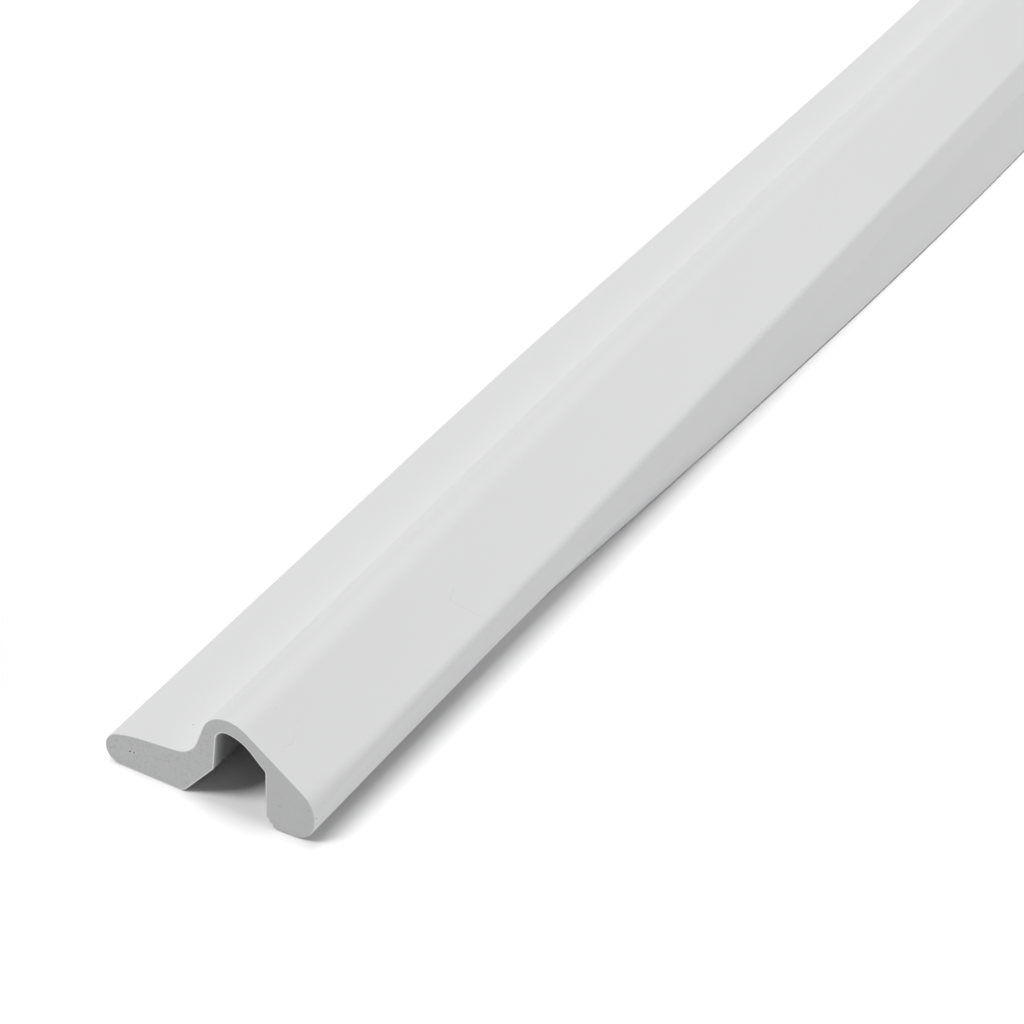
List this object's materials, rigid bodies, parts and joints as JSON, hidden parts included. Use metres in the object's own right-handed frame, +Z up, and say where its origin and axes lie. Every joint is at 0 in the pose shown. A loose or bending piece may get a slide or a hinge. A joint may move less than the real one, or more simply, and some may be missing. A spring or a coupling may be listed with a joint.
{
  "type": "door draught stopper strip",
  "caption": "Long foamed rubber strip with a thick flange, a hump over an open channel, and a foot that swings out into a standing leg.",
  "frame": {"origin": "centre of the bounding box in plan, on the floor that the strip lies on", "axes": "+Y along the strip, from the pictured cut end to the far end; +X from the flange to the foot; +Z up"},
  "size_m": [0.0388, 1, 0.016],
  "materials": {
    "foam_rubber": "closed matt skin, pale grey"
  },
  "bodies": {
    "root": {"draught_strip": "foam_rubber"}
  },
  "joints": []
}
